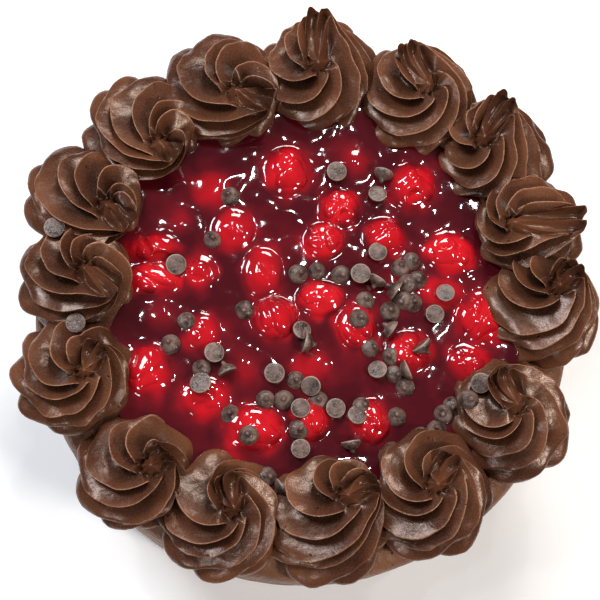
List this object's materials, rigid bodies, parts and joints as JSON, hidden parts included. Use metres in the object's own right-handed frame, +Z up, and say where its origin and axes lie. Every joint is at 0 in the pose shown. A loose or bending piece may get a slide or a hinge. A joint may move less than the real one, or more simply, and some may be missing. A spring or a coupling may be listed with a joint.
{
  "type": "black forest cake",
  "caption": "Round uncut chocolate layer cake with a ring of piped chocolate swirls around a pool of cherry gel, with whole cherries and chocolate chips.",
  "frame": {"origin": "centre of the flat underside of the cake", "axes": "+Z up, +X and +Y to the right and the top of the view from above"},
  "size_m": [0.2262, 0.2181, 0.1093],
  "materials": {
    "frosting": "dark chocolate frosting, satin with fine air pits",
    "gel": "wet, glossy dark red cherry gel",
    "cherry": "bright red cherry skin under a wet film"
  },
  "bodies": {
    "root": {"frosted_cake": "frosting", "swirl_01": "frosting", "swirl_02": "frosting", "swirl_03": "frosting", "swirl_04": "frosting", "swirl_05": "frosting", "swirl_06": "frosting", "swirl_07": "frosting", "swirl_08": "frosting", "swirl_09": "frosting", "swirl_10": "frosting", "swirl_11": "frosting", "swirl_12": "frosting", "swirl_13": "frosting", "swirl_14": "frosting", "swirl_15": "frosting", "cherry_01": "cherry", "cherry_02": "cherry", "cherry_03": "cherry", "cherry_04": "cherry", "cherry_05": "cherry", "cherry_06": "cherry", "cherry_07": "cherry", "cherry_08": "cherry", "cherry_09": "cherry", "cherry_10": "cherry", "cherry_11": "cherry", "cherry_12": "cherry", "cherry_13": "cherry", "cherry_14": "cherry", "cherry_15": "cherry", "cherry_16": "cherry", "cherry_17": "cherry", "cherry_18": "cherry", "cherry_19": "cherry", "cherry_20": "cherry", "cherry_21": "cherry", "cherry_22": "cherry", "cherry_23": "cherry", "cherry_24": "cherry", "cherry_25": "cherry", "cherry_26": "cherry", "cherry_gel": "gel"}
  },
  "joints": []
}
